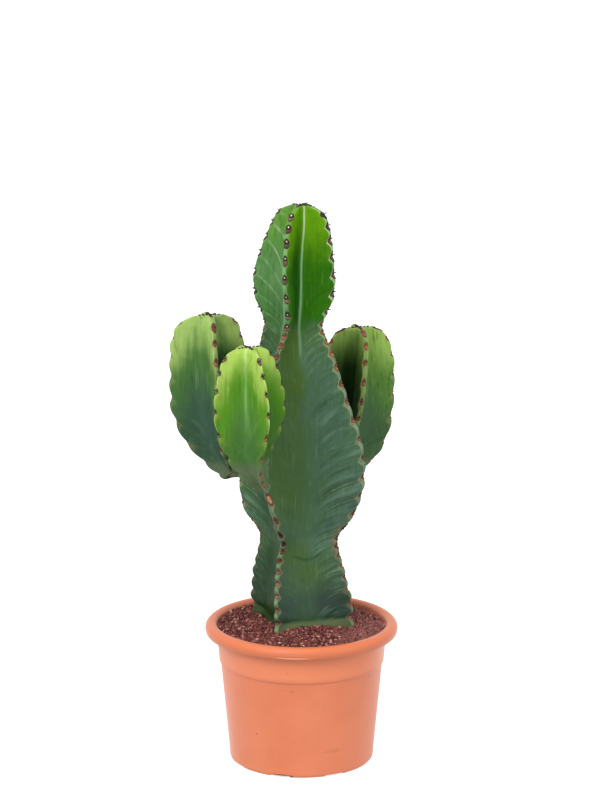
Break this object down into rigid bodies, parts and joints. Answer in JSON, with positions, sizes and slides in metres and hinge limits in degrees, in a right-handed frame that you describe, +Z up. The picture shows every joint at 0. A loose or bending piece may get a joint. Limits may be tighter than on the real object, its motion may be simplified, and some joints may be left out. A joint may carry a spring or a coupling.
{
  "type": "potted euphorbia",
  "caption": "Cactus-like euphorbia with a waisted ribbed trunk and upright ribbed arms, standing in gravelly soil in a round rolled-rim nursery pot.",
  "frame": {"origin": "middle of the pot's underside, on the surface it stands on", "axes": "+Z up along the pot's axis and the plant's height, -Y towards the viewer of the picture, +X to the viewer's right"},
  "size_m": [0.3208, 0.3657, 0.783],
  "materials": {
    "pot_plastic": "satin terracotta-coloured plastic",
    "gravel_soil": "loose dark red-brown grit",
    "trunk_skin": "waxy blue-green succulent skin with brown shields",
    "left_arm_skin": "waxy mid-green succulent skin with brown shields",
    "front_arm_skin": "waxy lime-green succulent skin with brown shields",
    "right_arm_skin": "waxy green succulent skin with brown shields"
  },
  "bodies": {
    "root": {"pot": "pot_plastic", "soil": "gravel_soil", "trunk": "trunk_skin", "left_arm": "left_arm_skin", "front_arm": "front_arm_skin", "right_arm": "right_arm_skin"}
  },
  "joints": []
}
